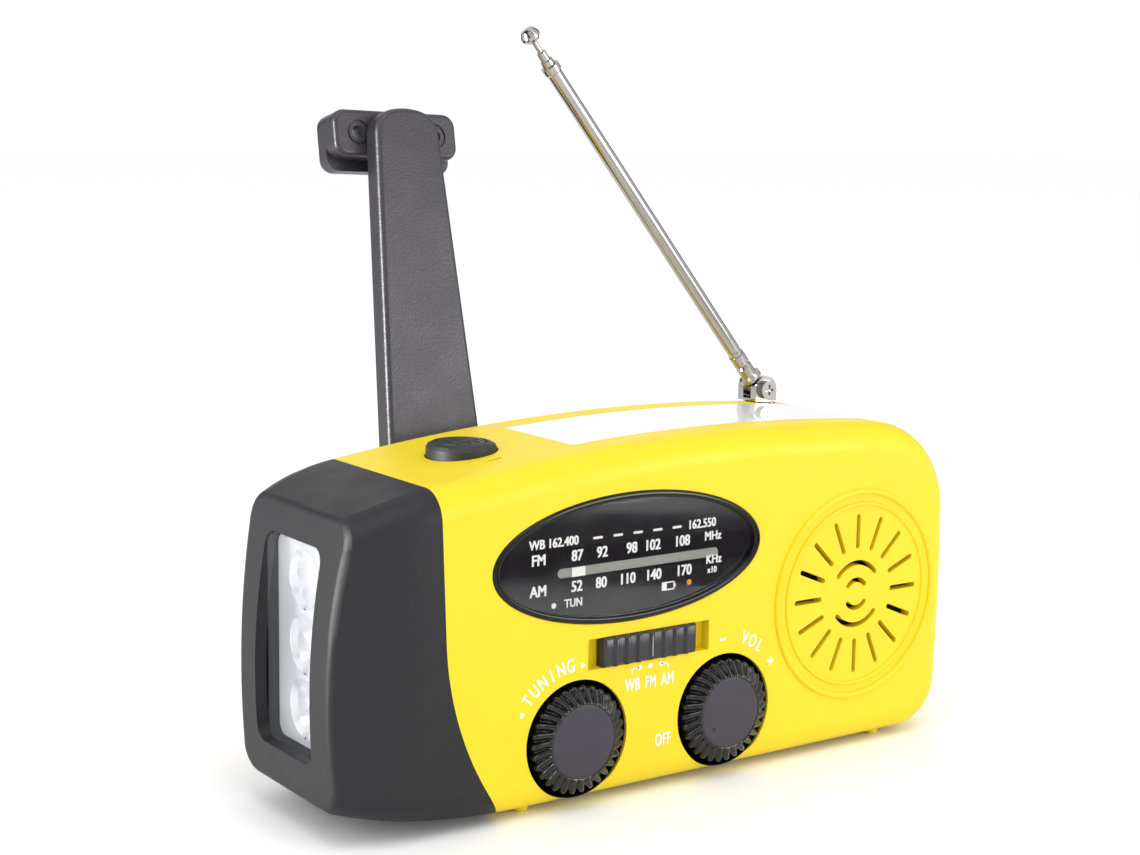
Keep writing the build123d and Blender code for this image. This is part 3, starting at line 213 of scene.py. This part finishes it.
NODE_MATERIALS = {
    "yellow": "front_case rear_case battery_door feet",
    "bezel": "lamp_bezel",
    "reflector_face": "lamp_reflector",
    "arm": "crank_arm crank_hub grip_front grip_back",
    "switch": "band_slider band_switch_body volume_pot",
    "rubber": "lamp_button port_cover",
    "dial": "dial_plate",
    "scale": "dial_backing",
    "pale": "pointer_carriage",
    "window": "lamp_window",
    "cover": "solar_cover",
    "solar": "solar_cell",
    "lamp": "lamp_leds",
    "amber": "indicator_leds",
    "board": "lamp_board main_board port_board",
    "dark": "lamp_switch tuning_capacitor ferrite_rod speaker_magnet",
    "paper": "speaker_cone",
    "wrap": "battery_cell",
    "gear": "crank_gear step_gear",
    "copper": "ferrite_coil",
    "chrome": "antenna_base antenna_swivel antenna_screw antenna_knuckle antenna_tube_1 antenna_tube_2 "
              "antenna_tube_3 antenna_rod",
    "steel": "speaker_frame battery_contacts case_screws usb_socket micro_usb_socket gearbox_plate "
             "generator_body crank_hinge_pin grip_pin grip_screws tuning_pinion volume_shaft crank_bush "
             "generator_rotor",
}


def dress_nodes():
    """Give every CAD node its material."""
    for name, members in NODE_MATERIALS.items():
        for node in members.split():
            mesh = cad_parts[node].data
            mesh.materials.clear()
            mesh.materials.append(MAT[name])


# ---- mesh helpers ----------------------------------------------------------
def new_piece(name, mesh, body, slot, *materials):
    """A piece from a mesh, riding on a body."""
    made = bpy.data.objects.new(name, mesh)
    bpy.context.scene.collection.objects.link(made)
    for material in materials:
        mesh.materials.append(MAT[material])
    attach(made, body)
    return made


def grid_mesh(name, rows, smooth=True, closed=True, capped=False):
    """A mesh through rows of points; each row is a ring of the same length."""
    form = bmesh.new()
    rings = [[form.verts.new(p) for p in row] for row in rows]
    count = len(rings[0])
    for low, high in zip(rings, rings[1:]):
        for i in range(count if closed else count - 1):
            j = (i + 1) % count
            form.faces.new((low[i], low[j], high[j], high[i]))
    if capped:
        form.faces.new(list(reversed(rings[0])))
        form.faces.new(rings[-1])
    bmesh.ops.recalc_face_normals(form, faces=form.faces)
    mesh = bpy.data.meshes.new(name)
    form.to_mesh(mesh)
    form.free()
    for face in mesh.polygons:
        face.use_smooth = smooth
    return mesh


def text_mesh(text, size, weight=0.03, thickness=0.03 * MM):
    """Bold lettering in the local XY plane, centred: the letters four times, a little apart and stepped."""
    curve = bpy.data.curves.new("lettering", "FONT")
    curve.body, curve.size, curve.extrude = text, size, thickness
    curve.align_x, curve.align_y = "CENTER", "CENTER"
    curve.resolution_u = 3
    holder = bpy.data.objects.new("lettering", curve)
    bpy.context.scene.collection.objects.link(holder)
    bpy.context.view_layer.update()
    mesh = bpy.data.meshes.new_from_object(holder.evaluated_get(bpy.context.evaluated_depsgraph_get()))
    bpy.data.objects.remove(holder)
    bpy.data.curves.remove(curve)
    form = bmesh.new()
    for copy, (side, up) in enumerate(((-1, -1), (1, -1), (-1, 1), (1, 1))):
        shift = Matrix.Translation((side * size * weight, up * size * weight / 2, copy * 0.008 * MM))
        mesh.transform(shift)
        form.from_mesh(mesh)
        mesh.transform(shift.inverted())
    form.to_mesh(mesh)
    form.free()
    return mesh


def on_front(x, z, turn=0.0, y=FRONT, stretch=1.0):
    """Local XY to the front face at x, z, turned by degrees; stretch scales the width."""
    return (Matrix.Translation((x * MM, y, z * MM)) @ Matrix.Rotation(radians(90), 4, "X")
            @ Matrix.Rotation(radians(turn), 4, "Z") @ Matrix.Diagonal((stretch, 1, 1, 1)))


def printed(name, marks, body="case", slot="pale_plastic", material="print"):
    """One piece from many marks, each a (mesh, matrix)."""
    form = bmesh.new()
    for mesh, place in marks:
        mesh.transform(place)
        form.from_mesh(mesh)
        bpy.data.meshes.remove(mesh)
    mesh = bpy.data.meshes.new(name)
    form.to_mesh(mesh)
    form.free()
    return new_piece(name, mesh, body, slot, material)


def arc_text(text, x, z, radius, middle, step, size, y=FRONT):
    """Letters standing on an arc about x, z; the middle letter is at an angle in degrees."""
    marks = []
    for index, letter in enumerate(text):
        angle = middle - (index - (len(text) - 1) / 2) * step
        at_x, at_z = x + radius * cos(radians(angle)), z + radius * sin(radians(angle))
        if letter != " ":
            marks.append((text_mesh(letter, size, 0.02), on_front(at_x, at_z, angle - 90, y, 0.68)))
    return marks


def bar_mesh(width, height, thickness=0.03 * MM):
    """A flat printed bar in the local XY plane."""
    form = bmesh.new()
    bmesh.ops.create_cube(form, size=1)
    bmesh.ops.scale(form, vec=(width, height, 2 * thickness), verts=form.verts)
    mesh = bpy.data.meshes.new("bar")
    form.to_mesh(mesh)
    form.free()
    return mesh


def dot_mesh(radius, thickness=0.03 * MM, sides=20):
    """A flat printed dot, or a triangle with its tip towards local +Y, in the local XY plane."""
    form = bmesh.new()
    bmesh.ops.create_cone(form, cap_ends=True, segments=sides, radius1=radius, radius2=radius,
                          depth=2 * thickness)
    mesh = bpy.data.meshes.new("dot")
    form.to_mesh(mesh)
    form.free()
    return mesh


# ---- knobs -----------------------------------------------------------------
FLUTES = 30
KNOB_PROFILE = [  # radius, Y, flute depth, all mm, from the back to the middle of the face
    (8.6, -14.4, 0), (9.0, -14.7, 0), (9.05, -16.5, 0.1), (9.05, -18.4, 0.7), (9.02, -19.0, 0.9),
    (8.9, -19.45, 1.0), (8.6, -19.8, 1.0), (8.2, -20.05, 0.95), (7.7, -20.3, 0.85), (7.2, -20.5, 0.75),
    (6.9, -20.66, 0.65), (6.6, -20.8, 0.5), (6.35, -20.88, 0.25), (6.2, -20.88, 0), (6.1, -20.78, 0),
    (6.02, -20.78, 0), (5.95, -20.86, 0), (5.7, -20.88, 0), (3.0, -20.86, 0), (0.05, -20.85, 0),
]
FACE_ROWS = 4             # rows at the end of the profile that belong to the matt face


def knob(name, node, body, dot_angle=None):
    """A knob with curved flutes round a flat matt face."""
    low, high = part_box(node)
    x, z = (low.x + high.x) / 2, (low.z + high.z) / 2
    around = FLUTES * 14
    rows = []
    for radius, y, depth in KNOB_PROFILE:
        lean = 0.16 * (9.05 - radius) / 3.3
        row = []
        for i in range(around):
            angle = 2 * pi * i / around
            wave = FLUTES * (angle + lean) / (2 * pi) % 1.0
            cut = depth * (1 - abs(2 * wave - 1) ** 0.6) ** 1.4
            r, back = (radius - 0.75 * cut) * MM, 1.0 * cut * MM
            row.append((x + r * cos(angle), y * MM + back, z + r * sin(angle)))
        rows.append(row)
    mesh = grid_mesh(name, rows)
    piece = new_piece(name, mesh, body, "black_plastic", "knob", "knob_face")
    for face in mesh.polygons:
        face.material_index = int(face.index >= (len(rows) - 1 - FACE_ROWS) * around)
    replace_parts(piece, node)
    if dot_angle is not None:
        at = (x / MM + 4.2 * cos(radians(dot_angle)), z / MM + 4.2 * sin(radians(dot_angle)))
        printed(name + "_mark", [(dot_mesh(0.35 * MM), on_front(*at, y=-20.87 * MM))], body,
                "black_plastic", "knob")


# ---- dial ------------------------------------------------------------------
def oval(rx, rz, y, points):
    """A ring of points about the dial's centre; all sizes in millimetres."""
    turns = [2 * pi * i / points for i in range(points)]
    return [((DIAL_X + rx * cos(t)) * MM, y * MM, (DIAL_Z + rz * sin(t)) * MM) for t in turns]


def dial_rim():
    """The dark bevelled rim round the clear lens."""
    profile = [(0.0, -18.4), (0.0, -19.1), (0.1, -19.25), (0.3, -19.36), (0.7, -19.38), (1.0, -19.3),
               (1.15, -19.0), (1.15, -18.4)]
    rows = [oval(DIAL_RX - inward, DIAL_RZ - inward, y, 160) for inward, y in profile]
    new_piece("dial_rim", grid_mesh("dial_rim", rows + rows[:1]), "case", "black_plastic", "rim")


def dial_lens():
    """The clear, slightly domed lens."""
    rows, rings, inset, edge_y, rise, tiny = [], 12, 1.1, -19.1, 0.45, 0.001
    for step in range(rings):
        share = step / (rings - 1)
        y = edge_y - rise * (1 - share ** 2)
        rows.append(oval((DIAL_RX - inset) * share + tiny, (DIAL_RZ - inset) * share + tiny, y, 96))
    piece = new_piece("dial_lens", grid_mesh("dial_lens", rows), "case", "clear_cover", "lens")
    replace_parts(piece, "dial_window")


def dial_print():
    """Generic wave-band numbers and marks on the dial plate."""
    y = DIAL_PRINT_Y * MM
    marks = []

    def word(text, x, z, size=2.5, stretch=0.88):
        marks.append((text_mesh(text, size * MM), on_front(x, z, 0, y, stretch)))

    word("WB 162.400", -24.1, 44.5, 2.1, 0.88)
    word("162.550", 5.6, 44.5, 2.1, 0.88)
    for index in range(5):
        marks.append((bar_mesh(1.8 * MM, 0.38 * MM), on_front(-15.6 + 4.0 * index, 44.5, 0, y)))
    for text, x in (("FM", -27.0), ("87", -19.6), ("92", -14.7), ("98", -8.8), ("102", -4.6), ("108", 1.5)):
        word(text, x, 42.0)
    for text, x in (("AM", -27.0), ("52", -19.6), ("80", -14.8), ("110", -9.6), ("140", -4.3), ("170", 2.0)):
        word(text, x, 37.0)
    word("MHz", 8.0, 42.2, 2.1)
    word("KHz", 8.3, 38.2, 2.1)
    word("x10", 8.0, 36.4, 1.5)
    word("TUN", -20.2, 34.4, 1.9)
    marks.append((dot_mesh(0.45 * MM), on_front(-24.0, 34.4, 0, y)))
    for x, z, width, height in ((-1.2, 34.2, 2.4, 0.2), (-1.2, 35.4, 2.4, 0.2), (-2.4, 34.8, 0.2, 1.4),
                                (0.0, 34.8, 0.2, 1.4), (0.2, 34.8, 0.3, 0.6), (-1.9, 34.8, 0.8, 1.0)):
        marks.append((bar_mesh(width * MM, height * MM), on_front(x, z, 0, y)))
    printed("dial_print", marks)


def dial_scale():
    """The scale strip, the white tip of the pointer on it, and the charging lamp."""
    y, middle = DIAL_PRINT_Y * MM, sum(SCALE_X) / 2
    long_bar = bar_mesh((SCALE_X[1] - SCALE_X[0]) * MM, 2 * SCALE_HALF * MM)
    strip = [(long_bar, on_front(middle, SCALE_Z, 0, y))]
    strip += [(dot_mesh(SCALE_HALF * MM), on_front(x, SCALE_Z, 0, y - 0.01 * MM)) for x in SCALE_X]
    printed("dial_scale_strip", strip, material="scale")
    pointer = bar_mesh(2.6 * MM, 1.5 * MM, 0.06 * MM)
    printed("dial_pointer_tip", [(pointer, on_front(POINTER_X, SCALE_Z, 0, POINTER_Y * MM))], "pointer")
    printed("charge_lamp", [(dot_mesh(0.5 * MM), on_front(3.2, 34.9, 0, y))], "case", "led", "amber")


def case_print():
    """Generic control labels on the front of the case."""
    y = FRONT - 0.01 * MM
    marks = arc_text("TUNING", TUNING_X, KNOB_Z, 12.4, 119, 8.8, 3.2 * MM, y)
    for angle, turn in ((152, 152), (86, -94)):
        at = (TUNING_X + 12.2 * cos(radians(angle)), KNOB_Z + 12.2 * sin(radians(angle)))
        marks.append((dot_mesh(0.62 * MM, sides=3), on_front(*at, turn, y)))
    marks += arc_text("VOL", VOLUME_X, KNOB_Z, 12.6, 62, 8.5, 3.1 * MM, y)
    for angle, width, height, lift in ((92, 1.3, 0.35, 0), (35, 1.4, 0.34, 0), (35, 0.34, 1.4, 0.01)):
        at = (VOLUME_X + 12.4 * cos(radians(angle)), KNOB_Z + 12.4 * sin(radians(angle)))
        marks.append((bar_mesh(width * MM, height * MM), on_front(*at, 0, y - lift * MM)))
    marks.append((text_mesh("OFF", 3.0 * MM, 0.02), on_front(-2.1, 8.9, 0, y, 0.62)))
    for text, x in (("WB", -8.6), ("FM", -4.9), ("AM", -1.4)):
        marks.append((text_mesh(text, 3.0 * MM, 0.02), on_front(x, 19.2, 0, y, 0.62)))
    for x in (-7.2, -5.0, -2.8):
        marks.append((dot_mesh(0.42 * MM), on_front(x, 22.0, 0, y)))
    for side in (-1, 1):
        marks.append((bar_mesh(1.5 * MM, 0.22 * MM), on_front(-5.0 + side * 3.0, 22.0, 0, y)))
        marks.append((bar_mesh(0.22 * MM, 0.9 * MM), on_front(-5.0 + side * 3.7, 21.6, 0, y)))
    printed("case_print", marks)


# ---- slider, wells, button and torch ---------------------------------------
RIBS = (-7.2, -4.9, -2.6, 2.6, 4.9, 7.2)   # millimetres from the slider's middle
RIB_HEIGHT, RIB_HALF, MARK_HEIGHT, MARK_HALF = 0.5, 0.5, 0.35, 0.5


def slider_outline(low, high):
    """The slider's top edge as (x, y) points, in metres, with its ribs and rounded ends."""
    middle, half, steps = (low.x + high.x) / 2, (high.x - low.x) / 2 - 0.1 * MM, 180
    base = low.y + 0.55 * MM
    outline = []
    for i in range(steps + 1):
        x = -half + 2 * half * i / steps
        rise = max(max(0, 1 - ((x / MM - rib) / RIB_HALF) ** 4) * RIB_HEIGHT for rib in RIBS)
        rise = max(rise, max(0, 1 - (x / MM / MARK_HALF) ** 2) * MARK_HEIGHT)
        edge = max(0, (abs(x) - half + 0.5 * MM) / (0.5 * MM))
        outline.append((middle + x, base - rise * MM + 0.4 * MM * edge ** 2))
    return outline


def slider():
    """The band slider with six rounded ribs and a small raised middle mark, with a painted highlight on the
    mark.
    """
    low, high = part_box("band_slider")
    outline, floor_y = slider_outline(low, high), -17.3 * MM
    rows = []
    for z, back in ((low.z, 2.4), (low.z, 0.45), (low.z + 0.12 * MM, 0.15), (low.z + 0.45 * MM, 0),
                    (high.z - 0.45 * MM, 0), (high.z - 0.12 * MM, 0.15), (high.z, 0.45), (high.z, 2.4)):
        row = [(x, min(y + back * MM, floor_y), z) for x, y in outline]
        rows.append([(outline[0][0], floor_y, z)] + row + [(outline[-1][0], floor_y, z)])
    mesh = grid_mesh("band_slider_ribbed", rows)
    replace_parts(new_piece("band_slider_ribbed", mesh, "band", "black_plastic", "switch"), "band_slider")
    # grey bar along the top of the raised middle mark: the mark is shape, the bar is a painted highlight on
    # its ridge
    at = on_front((low.x + high.x) / 2 / MM, (low.z + high.z) / 2 / MM, 0, low.y + 0.2 * MM)
    printed("band_slider_mark_highlight", [(bar_mesh(0.22 * MM, 3.4 * MM), at)], "band", "black_plastic", "scale")


def well_shade_liner(name, node):
    """A black sleeve lining a knob's well: painted shade for the shadowed gap round the knob."""
    low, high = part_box(node)
    x, z = (low.x + high.x) / 2, (low.z + high.z) / 2
    rows = []
    for radius, y in ((9.84, -18.55), (9.84, -14.0), (2.6, -14.0), (2.6, -14.1), (9.5, -14.1), (9.62, -14.3),
                      (9.68, -18.5)):
        rows.append([(x + radius * MM * cos(2 * pi * i / 72), y * MM, z + radius * MM * sin(2 * pi * i / 72))
                     for i in range(72)])
    new_piece(name, grid_mesh(name, rows + rows[:1]), "case", "black_plastic", "knob")


def ring_rows(x, y, z, radius, size, around=64, across=10):
    """Rows of a round ring about an upright axis."""
    rows = []
    for j in range(across + 1):
        bend = 2 * pi * j / across
        r, up = radius + size * cos(bend), size * sin(bend)
        rows.append([(x + r * cos(2 * pi * i / around), y + r * sin(2 * pi * i / around), z + up)
                     for i in range(around)])
    return rows


def button_symbol():
    """A raised lamp symbol on the torch button: a ring with short rays."""
    low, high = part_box("lamp_button")
    x, y, z = (low.x + high.x) / 2, (low.y + high.y) / 2, high.z
    ring = grid_mesh("ring", ring_rows(x, y, z, 1.5 * MM, 0.14 * MM))
    marks = [(ring, Matrix.Identity(4))]
    for index in range(8):
        turn = Matrix.Rotation(2 * pi * index / 8, 4, "Z")
        ray = bar_mesh(0.9 * MM, 0.26 * MM, 0.12 * MM)
        marks.append((ray, Matrix.Translation((x, y, z)) @ turn @ Matrix.Translation((2.6 * MM, 0, 0))))
    printed("lamp_button_symbol", marks, "lamp_key", "black_rubber", "rubber")


def reflector_cups():
    """Faceted plated liners in the three reflector cups."""
    low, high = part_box("lamp_reflector")
    middle, sides = (low.z + high.z) / 2, 18
    for index in range(3):
        z = middle + (index - 1) * CUP_PITCH * MM
        rows = []
        for step, (radius, deep) in enumerate(((5.12, -0.05), (4.95, 0.5), (4.2, 2.2), (3.4, 3.9), (2.6, 5.5),
                                               (1.9, 7.0))):
            shift = (step % 2) * pi / sides
            rows.append([(low.x + deep * MM, radius * 0.97 * MM * cos(2 * pi * i / sides + shift),
                          z + radius * 0.97 * MM * sin(2 * pi * i / sides + shift)) for i in range(sides)])
        name = f"reflector_cup_{index + 1}"
        new_piece(name, grid_mesh(name, rows, smooth=False), "case", "reflector", "reflector")


def camera():
    """The camera at the picture's viewing angle."""
    data = bpy.data.cameras.new("camera")
    data.lens, data.sensor_width, data.clip_start = CAMERA_LENS, CAMERA_SENSOR, 0.01
    made = bpy.data.objects.new("camera", data)
    bpy.context.scene.collection.objects.link(made)
    turn = Matrix((CAMERA_RIGHT, CAMERA_UP, CAMERA_BACK)).transposed().to_4x4()
    made.matrix_world = Matrix.Translation(CAMERA_PLACE) @ turn
    bpy.context.scene.camera = made


def floor():
    """The pale floor: a square with a finer square in its middle."""
    corners = ((-1, -1), (1, -1), (1, 1), (-1, 1))
    rows = [[(sx * half, sy * half, 0) for sx, sy in corners] for half in (4, 0.5)]
    mesh = grid_mesh("floor", rows, smooth=False)
    form = bmesh.new()
    form.from_mesh(mesh)
    form.faces.new([v for v in form.verts if abs(v.co.x) < 1])
    form.to_mesh(mesh)
    form.free()
    made = bpy.data.objects.new("floor", mesh)
    bpy.context.scene.collection.objects.link(made)
    white = (0.97, 0.97, 0.97)
    mesh.materials.append(moulded("floor_paint", white, 0.9, grain=200, strength=0.02, spread=0.01))


def studio():
    """White surroundings, soft lights, and black cards for the glossy parts to mirror."""
    world = bpy.data.worlds.new("studio")
    world.use_nodes = True
    world.node_tree.nodes["Background"].inputs["Color"].default_value = (1, 1, 1, 1)
    world.node_tree.nodes["Background"].inputs["Strength"].default_value = WORLD_STRENGTH
    bpy.context.scene.world = world
    softbox("key", (-0.1, -0.4, 1.0), 0.6, 2.5)
    softbox("left", (-0.8, -0.1, 0.5), 0.4, 1.2)
    softbox("right", (0.55, -0.75, 0.1), 0.3, 2.2)
    softbox("edge", (-0.42, 0.04, 0.08), 0.1, 6, 0.3).visible_diffuse = False
    softbox("sheen", (0.5, -0.68, 0.3), 0.4, 1.3).visible_diffuse = False
    flag("flag_low", (0.079, -0.138, 0.009), 0.16, 0.018)
    flag("flag_left", (-0.65, -0.35, 0.3), 0.2, 1.2)
    flag("flag_behind", (-0.15, -0.9, 0.3), 0.16, 1.2)
    flag("flag_right", (0.6, 0.25, 0.3), 0.3, 1.2)
    flag("flag_back", (-0.2, 0.8, 0.4), 0.3, 1.2)
    bpy.context.scene.view_settings.view_transform = "Standard"


def flag(name, place, width, height):
    """A black card that only glossy surfaces see, standing upright and facing the radio."""
    form = bmesh.new()
    bmesh.ops.create_grid(form, x_segments=1, y_segments=1, size=0.5)
    bmesh.ops.scale(form, vec=(width, height, 1), verts=form.verts)
    mesh = bpy.data.meshes.new(name)
    form.to_mesh(mesh)
    form.free()
    mesh.materials.append(MAT["paper"])
    card = bpy.data.objects.new(name, mesh)
    bpy.context.scene.collection.objects.link(card)
    toward = Vector((place[0], place[1], 0))
    card.matrix_world = Matrix.Translation(place) @ toward.to_track_quat("Z", "Y").to_matrix().to_4x4()
    card.visible_camera = card.visible_diffuse = card.visible_shadow = card.visible_transmission = False


def softbox(name, place, size, power, height=None):
    """An area light aimed at the middle of the radio, square unless a height is given."""
    data = bpy.data.lights.new(name, "AREA")
    data.shape = "RECTANGLE"
    data.size, data.size_y, data.energy = size, height or size, power
    lamp = bpy.data.objects.new(name, data)
    bpy.context.scene.collection.objects.link(lamp)
    lamp.location = place
    lamp.visible_camera = False
    lamp.rotation_euler = (Vector((0, 0, 0.04)) - Vector(place)).to_track_quat("-Z", "Y").to_euler()
    return lamp


dress_nodes()
knob("tuning_knob_fluted", "tuning_knob", "tuning")
knob("volume_knob_fluted", "volume_knob", "volume", 215)
dial_rim()
dial_lens()
dial_print()
dial_scale()
case_print()
slider()
# black sleeves in the knob wells: painted shade
well_shade_liner("tuning_well_shade_liner", "tuning_knob")
well_shade_liner("volume_well_shade_liner", "volume_knob")
button_symbol()
reflector_cups()
camera()
floor()
studio()
